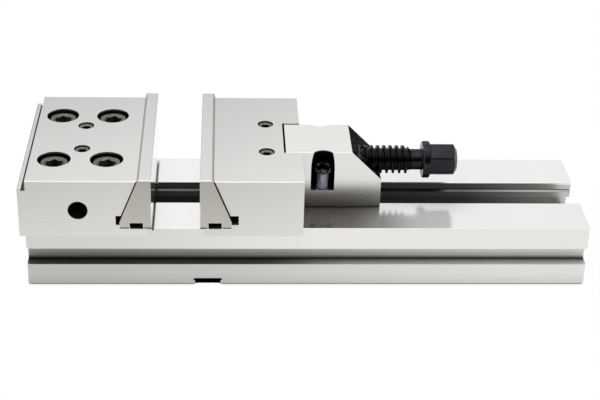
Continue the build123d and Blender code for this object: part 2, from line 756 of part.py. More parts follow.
# Spindle in one piece: nose, pin groove, journal, thread, neck, collar and hexagon.
# It is drawn as a turned blank in a plane through its own axis.
axis_plane = Plane((0, 0, spindle_z), x_dir=(1, 0, 0), z_dir=(0, -1, 0))
spindle_axis = Axis((0, 0, spindle_z), (1, 0, 0))
journal = JOURNAL_DIAMETER / 2
groove = PIN_GROOVE_DIAMETER / 2
thread = THREAD_DIAMETER / 2
collar = COLLAR_DIAMETER / 2
thread_left = notch_wall + JOURNAL_OUT
thread_right = block_rear + THREAD_OUT
collar_left = thread_right + NECK_LENGTH
hex_left = collar_left + COLLAR_LENGTH
hex_right = hex_left + HEX_LENGTH
hex_blank = HEX_ACROSS_FLATS / sqrt(3) - EDGE_BREAK / 2
with BuildPart() as spindle:
    with BuildSketch(axis_plane):
        with BuildLine():
            Polyline(
                (spindle_tip, 0),
                (spindle_tip, journal),
                (groove_left, journal),
                (groove_left, groove),
                (groove_right, groove),
                (groove_right, journal),
                (thread_left, journal),
                (thread_left, thread),
                (thread_right, thread),
                (thread_right, journal),
                (collar_left, journal),
                (collar_left, collar),
                (hex_left, collar),
                (hex_left, hex_blank),
                (hex_right - HEX_END_LENGTH, hex_blank),
                (hex_right, hex_blank - HEX_END_DROP),
                (hex_right, 0),
                close=True,
            )
        make_face()
    revolve(axis=spindle_axis)

    # Six flats, milled with a corner at the top and at the bottom
    with BuildSketch(Plane.YZ.offset(hex_left)):
        with Locations((0, spindle_z)):
            Circle(COLLAR_DIAMETER)
            RegularPolygon(HEX_ACROSS_FLATS / 2, 6, major_radius=False, rotation=30, mode=Mode.SUBTRACT)
    extrude(amount=2 * HEX_LENGTH, mode=Mode.SUBTRACT)
spindle.part.label = "spindle"
export_step(spindle.part, "parts/spindle.step")
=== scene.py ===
import json
import math
from typing import NamedTuple

import bmesh
import bpy
from mathutils import Matrix, Vector


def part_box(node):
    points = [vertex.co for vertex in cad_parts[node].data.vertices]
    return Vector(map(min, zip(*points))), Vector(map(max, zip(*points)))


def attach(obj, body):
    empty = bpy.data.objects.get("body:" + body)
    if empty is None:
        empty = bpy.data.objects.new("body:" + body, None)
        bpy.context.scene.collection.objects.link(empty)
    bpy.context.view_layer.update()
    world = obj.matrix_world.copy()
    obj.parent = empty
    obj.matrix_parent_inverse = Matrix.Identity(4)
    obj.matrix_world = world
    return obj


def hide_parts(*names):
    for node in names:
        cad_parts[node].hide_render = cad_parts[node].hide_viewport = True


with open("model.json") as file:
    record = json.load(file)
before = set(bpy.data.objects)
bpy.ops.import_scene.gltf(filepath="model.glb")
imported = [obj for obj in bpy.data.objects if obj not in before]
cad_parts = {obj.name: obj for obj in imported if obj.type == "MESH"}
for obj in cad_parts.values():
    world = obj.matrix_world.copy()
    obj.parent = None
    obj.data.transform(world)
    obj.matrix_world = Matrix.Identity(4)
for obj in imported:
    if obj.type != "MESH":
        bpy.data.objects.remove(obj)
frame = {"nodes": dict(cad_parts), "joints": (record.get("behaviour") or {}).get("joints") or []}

# Looks of the precision machine vise. Lengths are in metres, in the frame of the solids:
# X from the fixed jaw to the spindle's hexagon, -Y the near side, Z up.
MM = 0.001
nodes = frame["nodes"]
joints = {joint["name"]: joint for joint in frame["joints"]}
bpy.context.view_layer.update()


# Camera, fitted to the vanishing lines of the photograph
IMAGE_WIDTH_PX = 600
FOCAL_LENGTH_PX = 1534.7
SENSOR_MM = 36.0
CAMERA_PLACE = (-52.8 * MM, -870.6 * MM, 507.7 * MM)
CAMERA_AZIMUTH = math.radians(3.25)
CAMERA_ELEVATION = math.radians(28.5)
CAMERA_ROLL = math.radians(1.70)
CLIP_NEAR = 0.05
CLIP_FAR = 20.0


def make_camera():
    data = bpy.data.cameras.new("camera")
    data.sensor_width = SENSOR_MM
    data.lens = FOCAL_LENGTH_PX / IMAGE_WIDTH_PX * SENSOR_MM
    data.clip_start = CLIP_NEAR
    data.clip_end = CLIP_FAR
    camera = bpy.data.objects.new("camera", data)
    bpy.context.scene.collection.objects.link(camera)
    level = math.cos(CAMERA_ELEVATION)
    forward = Vector((
        math.sin(CAMERA_AZIMUTH) * level,
        math.cos(CAMERA_AZIMUTH) * level,
        -math.sin(CAMERA_ELEVATION),
    ))
    right = Vector((math.cos(CAMERA_AZIMUTH), -math.sin(CAMERA_AZIMUTH), 0))
    up = right.cross(forward)
    rolled_right = right * math.cos(CAMERA_ROLL) + up * math.sin(CAMERA_ROLL)
    rolled_up = up * math.cos(CAMERA_ROLL) - right * math.sin(CAMERA_ROLL)
    turn = Matrix((rolled_right, rolled_up, -forward)).transposed()
    camera.matrix_world = Matrix.Translation(CAMERA_PLACE) @ turn.to_4x4()
    bpy.context.scene.camera = camera


# Helpers for node materials
BEVEL_SAMPLES = 6
OCCLUSION_SAMPLES = 8


class Nodes:
    """Short calls to add and link shader nodes in one tree."""

    def __init__(self, tree):
        self.nodes = tree.nodes
        self.links = tree.links

    def add(self, kind, **settings):
        node = self.nodes.new(kind)
        for name, value in settings.items():
            setattr(node, name, value)
        return node

    def put(self, source, socket):
        """Links a source socket, or sets a plain value. None leaves the socket as it is."""
        if isinstance(source, bpy.types.NodeSocket):
            self.links.new(source, socket)
        elif source is not None:
            socket.default_value = source

    def math(self, operation, a, b=None, c=None):
        node = self.add("ShaderNodeMath", operation=operation)
        for socket, value in zip(node.inputs, (a, b, c)):
            self.put(value, socket)
        return node.outputs[0]

    def product(self, first, *others):
        for other in others:
            first = self.math("MULTIPLY", first, other)
        return first

    def vary(self, value, noise, spread):
        """Adds noise to a value, up to half the spread either way."""
        return self.math("MULTIPLY_ADD", noise, spread, self.math("SUBTRACT", value, spread / 2))

    def ramp(self, value, low, high, out_low=0.0, out_high=1.0, smooth=True):
        """Maps low..high to out_low..out_high, held flat outside."""
        node = self.add("ShaderNodeMapRange", interpolation_type="SMOOTHSTEP" if smooth else "LINEAR")
        self.put(value, node.inputs["Value"])
        node.inputs["From Min"].default_value = low
        node.inputs["From Max"].default_value = high
        node.inputs["To Min"].default_value = out_low
        node.inputs["To Max"].default_value = out_high
        return node.outputs[0]

    def mix(self, factor, a, b):
        """Mix of two colours."""
        node = self.add("ShaderNodeMix", data_type="RGBA")
        self.put(factor, node.inputs[0])
        self.put(a, node.inputs[6])
        self.put(b, node.inputs[7])
        return node.outputs[2]

    def blend(self, factor, a, b):
        """Mix of two numbers."""
        node = self.add("ShaderNodeMix", data_type="FLOAT")
        self.put(factor, node.inputs[0])
        self.put(a, node.inputs[2])
        self.put(b, node.inputs[3])
        return node.outputs[0]

    def between(self, value, low, high):
        """1 from low to high, 0 elsewhere."""
        return self.math("COMPARE", value, (low + high) / 2, (high - low) / 2)

    def noise(self, vector, scale, detail=2.0, stretch=(1, 1, 1)):
        """Noise between 0 and 1; stretch scales the three directions."""
        mapping = self.add("ShaderNodeMapping")
        mapping.inputs["Scale"].default_value = stretch
        self.put(vector, mapping.inputs["Vector"])
        node = self.add("ShaderNodeTexNoise", noise_dimensions="3D")
        node.inputs["Scale"].default_value = scale
        node.inputs["Detail"].default_value = detail
        self.put(mapping.outputs[0], node.inputs["Vector"])
        return node.outputs[0]

    def split(self, vector):
        node = self.add("ShaderNodeSeparateXYZ")
        self.put(vector, node.inputs[0])
        return node.outputs

    def scale(self, vector, factor):
        node = self.add("ShaderNodeVectorMath", operation="SCALE")
        self.put(vector, node.inputs[0])
        self.put(factor, node.inputs["Scale"])
        return node.outputs[0]

    def bevel(self, radius):
        """Normal of the surface as if its edges were rounded."""
        node = self.add("ShaderNodeBevel", samples=BEVEL_SAMPLES)
        node.inputs["Radius"].default_value = radius
        return node.outputs[0]

    def openness(self, reach, span, closed):
        """1 in the open, and down to closed where other surfaces lie within reach; it scales colours into
        painted shade.
        """
        node = self.add("ShaderNodeAmbientOcclusion", samples=OCCLUSION_SAMPLES, only_local=False)
        node.inputs["Distance"].default_value = reach
        return self.ramp(node.outputs["AO"], *span, closed, 1.0)


def colour(tone):
    return (*tone, 1.0)


def new_material(name):
    material = bpy.data.materials.new(name)
    material.use_nodes = True
    material.node_tree.nodes.clear()
    tree = Nodes(material.node_tree)
    shader = tree.add("ShaderNodeBsdfPrincipled")
    output = tree.add("ShaderNodeOutputMaterial")
    tree.put(shader.outputs[0], output.inputs[0])
    return material, tree, shader


# Relief and edges of all steel. Handling has polished the sharp edges, and a painted highlight lightens
# them as well.
BUMP_HEIGHT = 0.02 * MM
EDGE_REACH = 0.35 * MM
EDGE_AGREEMENT = (0.995, 0.93)
CHAMFER_SLOPE = (0.5, 0.65)


def add_bump(tree, shader, relief, strength, normal=None):
    bump = tree.add("ShaderNodeBump")
    bump.inputs["Strength"].default_value = strength
    bump.inputs["Distance"].default_value = BUMP_HEIGHT
    tree.put(relief, bump.inputs["Height"])
    tree.put(normal, bump.inputs["Normal"])
    tree.put(bump.outputs[0], shader.inputs["Normal"])


def sharp_edges(tree):
    """1 on the sharp edges, where a rounded normal departs from the true one, 0 elsewhere."""
    geometry = tree.add("ShaderNodeNewGeometry")
    agreement = tree.add("ShaderNodeVectorMath", operation="DOT_PRODUCT")
    tree.put(tree.bevel(EDGE_REACH), agreement.inputs[0])
    tree.put(geometry.outputs["True Normal"], agreement.inputs[1])
    return tree.ramp(agreement.outputs["Value"], *EDGE_AGREEMENT)


def chamfer(tree, sideways, upwards):
    """1 on faces halfway between a side and the top, 0 elsewhere."""
    return tree.ramp(tree.math("MINIMUM", sideways, upwards), *CHAMFER_SLOPE)


# Ground steel. ALONG and ACROSS stretch its grinding marks along X and along Y.
ALONG = (0.006, 1.0, 1.0)
ACROSS = (1.0, 0.006, 1.0)
GRAIN_PER_METRE = 2600.0
FINE_PER_METRE = 5200.0
CLOUDS_PER_METRE = 22.0
NOISE_DETAIL = 3.0
CLOUD_SPREAD = 0.06
GRAIN_SPREAD = 0.03
ROUGHNESS_SPREAD = 0.04
FINE_SHARE = 0.1
GRAIN_BUMP = 0.01
TOP_FROM = 0.75
TOP_SOFTNESS = 0.1
# Painted shade darkens narrow places, where other surfaces lie within CAVITY_REACH.
NARROW_PLACE_SHADE = 0.85
CAVITY_REACH = 9 * MM
CAVITY_OPENNESS = (0.05, 0.62)
EDGE_RADIUS = 0.12 * MM
# Sharp edges and chamfers take EDGE_TONE, lighter from wear and from a painted highlight.
EDGE_TONE = (0.93, 0.925, 0.91)
EDGE_GLOSS = 0.85
# A plate's mouth face gets a near-white painted reflection, and its chamfer towards the mouth a painted
# highlight.
MOUTH_EDGE_GLOSS = 0.3
MOUTH_SLOPE = (0.9, 0.97)
MOUTH_REFLECTION_TONE = (0.97, 0.97, 0.965)
MOUTH_ROUGHNESS = 0.12


class Finish(NamedTuple):
    """Look of a ground surface. gloss is the share of light that it mirrors; the rest is scattered."""

    tone: tuple
    roughness: float
    gloss: float


def ground_steel(name, side, top=None, grain=ALONG, narrow_shade=NARROW_PLACE_SHADE, top_from=TOP_FROM, node=None,
                 gloss_part=None, shades=(), mouth=0):
    """Hardened and ground steel. Faces that look up have the top finish, from a slope of top_from on. grain
    stretches the grinding marks, and narrow_shade is how dark the painted shade makes narrow places.
    gloss_part and shades scale the gloss and the tone; they are functions of tree, where, facing and the
    two corners of the node's box, and the shades paint light and shade into the tone. Sharp edges and
    chamfers get a painted highlight besides their wear. mouth is the way to the vise's mouth along X, on a
    jaw plate, whose mouth face gets a painted reflection."""
    material, tree, shader = new_material(name)
    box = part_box(node) if node else ()
    top = top or side
    coords = tree.add("ShaderNodeTexCoord")
    place = coords.outputs["Object"]
    where = tree.split(place)
    facing = tree.split(coords.outputs["Normal"])
    upward = tree.ramp(facing["Z"], top_from, top_from + TOP_SOFTNESS)
    mouthward = tree.product(facing["X"], mouth)
    mouth_face = tree.ramp(mouthward, *MOUTH_SLOPE)
    mouth_edge = chamfer(tree, mouthward, facing["Z"])
    side_edge = chamfer(tree, tree.math("ABSOLUTE", facing["Y"]), facing["Z"])
    wear_and_highlight = tree.math("MAXIMUM", sharp_edges(tree), side_edge)
    cloud = tree.noise(place, CLOUDS_PER_METRE, NOISE_DETAIL)
    marks = tree.noise(place, GRAIN_PER_METRE, NOISE_DETAIL, grain)
    fine = tree.noise(place, FINE_PER_METRE)

    base = tree.mix(upward, colour(side.tone), colour(top.tone))
    # Painted reflection on a plate's mouth face
    base = tree.mix(mouth_face, base, colour(MOUTH_REFLECTION_TONE))
    # Edges and chamfers: wear and a painted highlight
    base = tree.mix(tree.math("MAXIMUM", wear_and_highlight, mouth_edge), base, colour(EDGE_TONE))
    factor = tree.product(
        tree.vary(tree.vary(1.0, cloud, CLOUD_SPREAD), marks, GRAIN_SPREAD),
        # painted shade in narrow places
        tree.openness(CAVITY_REACH, CAVITY_OPENNESS, 1.0 - narrow_shade),
        *(shade(tree, where, facing, *box) for shade in shades),
    )
    tree.put(tree.scale(base, factor), shader.inputs["Base Color"])

    shine = tree.blend(upward, side.gloss, top.gloss)
    if gloss_part:
        shine = tree.product(shine, gloss_part(tree, where, facing, *box))
    shine = tree.blend(wear_and_highlight, shine, EDGE_GLOSS)
    shine = tree.blend(mouth_edge, shine, MOUTH_EDGE_GLOSS)
    tree.put(shine, shader.inputs["Metallic"])

    rough = tree.blend(upward, side.roughness, top.roughness)
    rough = tree.blend(mouth_face, rough, MOUTH_ROUGHNESS)
    rough = tree.vary(tree.vary(rough, marks, ROUGHNESS_SPREAD), cloud, ROUGHNESS_SPREAD)
    tree.put(rough, shader.inputs["Roughness"])
    relief = tree.math("MULTIPLY_ADD", fine, FINE_SHARE, marks)
    add_bump(tree, shader, relief, GRAIN_BUMP, tree.bevel(EDGE_RADIUS))
    return material


# How far a face looks along an axis, from 0 to 1, where it starts to count and counts in full
UPRIGHT = (0.7, 0.3)
BORE_WALL = (0.7, 0.5)
LEVEL = (0.7, 0.9)
UPWARD = (0.3, 0.7)
SIDEWAYS = (0.5, 0.8)


def steep(tree, facing, span):
    """1 on upright faces, 0 on level ones."""
    return tree.ramp(tree.math("ABSOLUTE", facing["Z"]), *span)


def sideways(tree, facing):
    """1 on faces that look to the near or the far side, 0 elsewhere."""
    return tree.ramp(tree.math("ABSOLUTE", facing["Y"]), *SIDEWAYS)


# Shading of the base. Painted shade darkens its sides to the left and its flange towards the foot, and
# fills its side grooves, more to the left, and its channel, which also isn't ground; its rails are dull
# past the block. Pairs of tones go from left to right along the base, from the foot up, or from a ledge's
# wall outwards.
GROOVE_LOW = 14.3 * MM
GROOVE_HIGH = 25.5 * MM
GROOVE_DEPTH = 8.0 * MM
GROOVE_MARGIN = 0.1 * MM
GROOVE_WALL_MARGIN = 0.5 * MM
GROOVE_GLOSS = 0.1
# Painted shade in the side grooves: darker at the foot of the wall, at the ledge's inner corner and to the
# left.
GROOVE_TONES = (0.55, 1.15)
GROOVE_WALL_LIT = 16.6 * MM
GROOVE_WALL_TONES = (0.15, 1.2)
GROOVE_LEDGE_TONES = (0.02, 0.75)
GROOVE_SHADED_TO = -35.0 * MM
GROOVE_LIT_FROM = 30.0 * MM
GROOVE_SHADE_TONES = (0.32, 1.6)
DULL_FROM = 20.0 * MM
DULL_TO = 80.0 * MM
DULL_GLOSS = 0.35
RAIL_LEVEL = 38.5 * MM
CHANNEL_HALF = 30.0 * MM
CHANNEL_END = 0.5
CHANNEL_GLOSS = 0.7
# Painted shade in the channel, darker to the left of CHANNEL_LIT_FROM.
CHANNEL_DARK_TO = 105.0 * MM
CHANNEL_LIT_FROM = 150.0 * MM
CHANNEL_WALL_TONES = (0.5, 0.8)
CHANNEL_LEDGE_TONES = (0.15, 0.5)
# Painted shade: the base's sides darken to the left, and its flange towards the foot.
CLEAR_SIDE_X = 20.0 * MM
RAIL_SIDE_TONES = (0.82, 1.03)
FLANGE_TONES = (0.64, 0.95)
FLANGE_FOOT_HEIGHT = 9.0 * MM
FLANGE_FOOT_TONES = (0.86, 1.0)


def in_groove(tree, where, high):
    off_middle = tree.math("ABSOLUTE", where["Y"])
    inner = high.y - GROOVE_DEPTH - GROOVE_WALL_MARGIN
    return tree.product(
        tree.between(off_middle, inner, high.y - GROOVE_MARGIN),
        tree.between(where["Z"], GROOVE_LOW - GROOVE_MARGIN, GROOVE_HIGH + GROOVE_MARGIN),
    )


def in_channel(tree, where, facing):
    """1 on the channel's faces below the rails' edges, but not on the base's ends."""
    return tree.product(
        tree.math("LESS_THAN", where["Z"], RAIL_LEVEL),
        tree.math("LESS_THAN", tree.math("ABSOLUTE", facing["X"]), CHANNEL_END),
        tree.between(where["Y"], -CHANNEL_HALF, CHANNEL_HALF),
    )


def base_gloss(tree, where, facing, low, high):
    rail = tree.ramp(where["X"], DULL_FROM, DULL_TO, 1.0, DULL_GLOSS)
    gloss = tree.blend(tree.ramp(facing["Z"], *LEVEL), 1.0, rail)
    gloss = tree.blend(in_groove(tree, where, high), gloss, GROOVE_GLOSS)
    return tree.blend(in_channel(tree, where, facing), gloss, CHANNEL_GLOSS)


# Painted shade on the base's sides, darker to the left and towards the flange's foot
def base_side_tone(tree, where, low, high):
    rail = tree.ramp(where["X"], low.x, CLEAR_SIDE_X, *RAIL_SIDE_TONES)
    flange = tree.product(
        tree.ramp(where["X"], low.x, high.x, *FLANGE_TONES),
        tree.ramp(where["Z"], low.z, low.z + FLANGE_FOOT_HEIGHT, *FLANGE_FOOT_TONES),
    )
    return tree.blend(tree.math("LESS_THAN", where["Z"], GROOVE_LOW), rail, flange)


# Painted shade in a side groove
def groove_tone(tree, where, upright, low, high):
    off_middle = tree.math("ABSOLUTE", where["Y"])
    wall = tree.ramp(where["Z"], GROOVE_LOW, GROOVE_WALL_LIT, *GROOVE_WALL_TONES, smooth=False)
    ledge = tree.product(
        tree.ramp(off_middle, high.y - GROOVE_DEPTH, high.y, *GROOVE_LEDGE_TONES, smooth=False),
        tree.ramp(where["X"], GROOVE_SHADED_TO, GROOVE_LIT_FROM, *GROOVE_SHADE_TONES),
    )
    return tree.product(
        tree.blend(upright, ledge, wall),
        tree.ramp(where["X"], low.x, high.x, *GROOVE_TONES),
    )


# Painted shade in the channel
def channel_tone(tree, where, upright):
    ledge, wall = (
        tree.ramp(where["X"], CHANNEL_DARK_TO, CHANNEL_LIT_FROM, *tones, smooth=False)
        for tones in (CHANNEL_LEDGE_TONES, CHANNEL_WALL_TONES)
    )
    return tree.blend(upright, ledge, wall)


def base_shade(tree, where, facing, low, high):
    upright = steep(tree, facing, UPRIGHT)
    tone = tree.blend(upright, 1.0, base_side_tone(tree, where, low, high))
    tone = tree.blend(in_groove(tree, where, high), tone, groove_tone(tree, where, upright, low, high))
    return tree.blend(in_channel(tree, where, facing), tone, channel_tone(tree, where, upright))


# Painted shade and light on the jaws, their plates and the nut block. Pairs of tones go from the far edge
# to the near edge of a top, from the top edge of a side down, or from left to right.
# Tone of the painted shade in bores, pockets, grooves and along feet
INNER_WALL = 0.06
WALL_SKIN = 1.0 * MM
REAR_GROOVE = (2.4 * MM, 4.9 * MM)
REAR_GROOVE_DROP = (5.1 * MM, 6.4 * MM)
STOP_BORE_X = -140.2 * MM
STOP_BORE_Z = 59.3 * MM
STOP_BORE_REACH = 6.2 * MM
STOP_BORE_SKIN = 0.6 * MM
STOP_BORE_TONE = 0.1
# Heights of the painted contact shadow at the feet of the block and the plates
BLOCK_FOOT = (0.3 * MM, 1.1 * MM)
PLATE_FOOT = (0.4 * MM, 1.1 * MM)
FOOT_SHADE_HEIGHT = 20 * MM
FOOT_SHADE_TONE = 0.36
# Painted light and shade that drift over the faces of the jaws and the plates
JAW_TOP_TONES = (0.96, 1.19)
JAW_SIDE_TONES = (0.88, 1.06)
JAW_LENGTH_TONES = (0.95, 1.03)
PLATE_TOP_TONES = (0.95, 1.14)
PLATE_SIDE_TONES = (0.98, 1.24)


def dark_inside(tree, where, facing, low, high):
    """Painted shade on the walls of the bores and pockets inside a piece's outer box."""
    inner = tree.product(
        steep(tree, facing, BORE_WALL),
        tree.math("LESS_THAN", where["Z"], high.z - WALL_SKIN),
        tree.between(where["X"], low.x + WALL_SKIN, high.x - WALL_SKIN),
        tree.between(where["Y"], low.y + WALL_SKIN, high.y - WALL_SKIN),
    )
    return tree.blend(inner, 1.0, INNER_WALL)


def dark_rear_groove(tree, where, facing, low, high):
    """Painted shade in the groove at the foot of the step behind the fixed jaw's top."""
    left, right = REAR_GROOVE
    upper, lower = REAR_GROOVE_DROP
    groove = tree.product(
        tree.between(where["X"], low.x + left, low.x + right),
        tree.between(where["Z"], high.z - lower, high.z - upper),
    )
    return tree.blend(groove, 1.0, INNER_WALL)


def dark_stop_bores(tree, where, facing, low, high):
    """Painted shade in the bores for the work stop, in both sides of the fixed jaw."""
    bore = tree.product(
        tree.between(where["X"], STOP_BORE_X - STOP_BORE_REACH, STOP_BORE_X + STOP_BORE_REACH),
        tree.between(where["Y"], low.y + STOP_BORE_SKIN, high.y - STOP_BORE_SKIN),
        tree.between(where["Z"], STOP_BORE_Z - STOP_BORE_REACH, STOP_BORE_Z + STOP_BORE_REACH),
    )
    return tree.blend(bore, 1.0, STOP_BORE_TONE)


def foot_line(tree, where, low, heights):
    """Painted contact shadow where a piece stands on its seat: a dark line that fades out between two
    heights above its foot.
    """
    dark_to, light_from = heights
    return tree.ramp(where["Z"], low.z + dark_to, low.z + light_from, INNER_WALL, 1.0)


def shaded_block_foot(tree, where, facing, low, high):
    """The nut block's painted contact shadow, and painted shade that darkens its sides towards the foot."""
    foot_shade = tree.ramp(where["Z"], low.z, low.z + FOOT_SHADE_HEIGHT, FOOT_SHADE_TONE, 1.0, smooth=False)
    return tree.product(
        foot_line(tree, where, low, BLOCK_FOOT),
        tree.blend(sideways(tree, facing), 1.0, foot_shade),
    )


# Painted light and shade: tops lighter towards the near edge, sides lighter towards the foot, and a little
# lighter to the right
def jaw_painted_light(tree, where, facing, low, high):
    top = tree.ramp(where["Y"], high.y, low.y, *JAW_TOP_TONES, smooth=False)
    side = tree.ramp(where["Z"], high.z, low.z, *JAW_SIDE_TONES, smooth=False)
    along = tree.ramp(where["X"], low.x, high.x, *JAW_LENGTH_TONES, smooth=False)
    return tree.product(tree.blend(tree.ramp(facing["Z"], *UPWARD), side, top), along)


def plate_shade(tree, where, facing, low, high):
    """Painted contact shadow along a jaw plate's foot, and painted light and shade over its faces: its top
    lighter towards the near edge and its sides lighter towards the foot.
    """
    top = tree.ramp(where["Y"], high.y, low.y, *PLATE_TOP_TONES, smooth=False)
    side = tree.ramp(where["Z"], high.z, low.z, *PLATE_SIDE_TONES, smooth=False)
    side = tree.blend(sideways(tree, facing), 1.0, side)
    drift = tree.blend(tree.ramp(facing["Z"], *UPWARD), side, top)
    return tree.product(foot_line(tree, where, low, PLATE_FOOT), drift)


# Finishes of the ground pieces
BASE_SIDE = Finish((0.81, 0.80, 0.775), 0.20, 0.95)
RAIL_TOP = Finish((0.90, 0.895, 0.885), 0.14, 0.9)
BASE_NARROW_SHADE = 0.35
JAW_SIDE = Finish((0.76, 0.75, 0.725), 0.28, 0.9)
JAW_TOP = Finish((0.66, 0.645, 0.63), 0.34, 0.6)
PLATE_SIDE = Finish((0.46, 0.44, 0.405), 0.28, 0.9)
PLATE_TOP = Finish((0.66, 0.645, 0.63), 0.30, 0.6)
BLOCK_SIDE = Finish((0.80, 0.79, 0.76), 0.27, 1.0)
BLOCK_TOP = Finish((0.80, 0.79, 0.76), 0.12, 1.0)
BLOCK_TOP_FROM = 0.55
BLOCK_NARROW_SHADE = 0.6
HIDDEN_SURFACE = Finish((0.45, 0.44, 0.43), 0.40, 0.8)


def base_steel():
    return ground_steel(
        "base_steel", BASE_SIDE, RAIL_TOP, narrow_shade=BASE_NARROW_SHADE, node="base", gloss_part=base_gloss,
        shades=[base_shade],
    )


def jaw_steel(node, *own_shades):
    shades = [dark_inside, *own_shades, jaw_painted_light]
    return ground_steel(node + "_steel", JAW_SIDE, JAW_TOP, node=node, shades=shades)


def plate_steel(name, node, mouth):
    return ground_steel(name, PLATE_SIDE, PLATE_TOP, ACROSS, node=node, shades=[plate_shade], mouth=mouth)


def block_steel():
    return ground_steel(
        "block_steel", BLOCK_SIDE, BLOCK_TOP, narrow_shade=BLOCK_NARROW_SHADE, top_from=BLOCK_TOP_FROM,
        node="nut_block", shades=[dark_inside, shaded_block_foot],
    )


def hidden_steel():
    return ground_steel("hidden_steel", HIDDEN_SURFACE)


# Blackened steel
OXIDE_CLOUDS_PER_METRE = 120.0
OXIDE_CLOUD = (0.35, 0.65)
OXIDE_CLOUD_TONE = 1.3
OXIDE_ROUGHNESS_SPREAD = 0.10
OXIDE_BUMP = 0.10
OXIDE_REACH = 4 * MM
OXIDE_OPENNESS = (0.25, 0.8)
OXIDE_RECESS_SHADE = 0.12
THREAD_DARK_TONE = 0.45
THREAD_DARK_EDGE = 1 * MM
# Edges of blackened steel are lighter from rubbing and from a painted highlight.
RUBBED_AND_HIGHLIT = 0.7
RUBBED_HIGHLIGHT_TONE = 5.0
SCREW_BLACK = (0.145, 0.141, 0.131)
SCREW_ROUGHNESS = 0.34
LOCK_BLACK = (0.055, 0.057, 0.070)
LOCK_ROUGHNESS = 0.22
SPINDLE_BLACK = (0.026, 0.0265, 0.031)
SPINDLE_ROUGHNESS = 0.28


def black_oxide(name, tone, roughness, darker_to=None):
    """Blackened steel with a little wear, whose recesses are blackened by painted shade and whose edges are
    lighter from rubbing and from a painted highlight. Up to darker_to along X, its tone is darker."""
    material, tree, shader = new_material(name)
    place = tree.add("ShaderNodeTexCoord").outputs["Object"]
    cloud = tree.noise(place, OXIDE_CLOUDS_PER_METRE, NOISE_DETAIL)
    cloud_tone = [OXIDE_CLOUD_TONE * part for part in tone]
    rubbed_highlight_tone = [RUBBED_HIGHLIGHT_TONE * part for part in tone]
    base = tree.mix(tree.ramp(cloud, *OXIDE_CLOUD), colour(tone), colour(cloud_tone))
    # Edges: rubbing and a painted highlight
    base = tree.mix(tree.product(sharp_edges(tree), RUBBED_AND_HIGHLIT), base, colour(rubbed_highlight_tone))
    # Painted shade in the recesses
    factor = tree.openness(OXIDE_REACH, OXIDE_OPENNESS, OXIDE_RECESS_SHADE)
    # The tone is darker up to the end of the spindle's thread.
    if darker_to is not None:
        thread_darkening = tree.ramp(tree.split(place)["X"], darker_to, darker_to + THREAD_DARK_EDGE, THREAD_DARK_TONE, 1.0)
        factor = tree.product(factor, thread_darkening)
    tree.put(tree.scale(base, factor), shader.inputs["Base Color"])
    tree.put(tree.vary(roughness, cloud, OXIDE_ROUGHNESS_SPREAD), shader.inputs["Roughness"])
    add_bump(tree, shader, tree.noise(place, GRAIN_PER_METRE), OXIDE_BUMP)
    shader.inputs["Metallic"].default_value = 1.0
    return material


def screw_steel():
    return black_oxide("screw_steel", SCREW_BLACK, SCREW_ROUGHNESS)


def lock_screw_steel():
    return black_oxide("lock_screw_steel", LOCK_BLACK, LOCK_ROUGHNESS)


def spindle_steel():
    thread_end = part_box("spindle")[1].x - HEX_LENGTH - COLLAR_LENGTH - NECK_LENGTH
    return black_oxide("spindle_steel", SPINDLE_BLACK, SPINDLE_ROUGHNESS, thread_end)


def make_materials():
    return {
        "base": base_steel(),
        "fixed_jaw": jaw_steel("fixed_jaw", dark_rear_groove, dark_stop_bores),
        "movable_jaw": jaw_steel("movable_jaw"),
        "fixed_plate": plate_steel("fixed_plate_steel", "fixed_jaw_plate", mouth=1),
        "movable_plate": plate_steel("movable_plate_steel", "movable_jaw_plate", mouth=-1),
        "block": block_steel(),
        "hidden": hidden_steel(),
        "screw": screw_steel(),
        "lock_screw": lock_screw_steel(),
        "spindle": spindle_steel(),
    }


# Material of each node of the solids. All that isn't named here is hidden inside.
LOOKS = {
    "base": "base",
    "fixed_jaw": "fixed_jaw",
    "movable_jaw": "movable_jaw",
    "fixed_jaw_plate": "fixed_plate",
    "movable_jaw_plate": "movable_plate",
    "nut_block": "block",
    "spindle": "spindle",
    "fixed_jaw_cap_screws": "screw",
    "fixed_plate_set_screws": "screw",
    "movable_plate_set_screws": "screw",
    "hold_down_screws": "screw",
    "lock_screw_near": "lock_screw",
    "lock_screw_far": "lock_screw",
}


def dress_nodes(materials):
    for name, node in nodes.items():
        look = materials[LOOKS.get(name, "hidden")]
        for slot in node.material_slots:
            slot.material = look


# Turned pieces
SHARP_ANGLE = math.radians(35)
FULL_TURN = 2 * math.pi
SIXTH_TURN = math.pi / 3
MERGE_DISTANCE = 0.0001 * MM


def hexagon_radius(angle, width):
    """Radius of a hexagon whose corners lie at odd multiples of 30 degrees."""
    from_middle = (angle + SIXTH_TURN / 2) % SIXTH_TURN - SIXTH_TURN / 2
    return width / 2 / math.cos(from_middle)


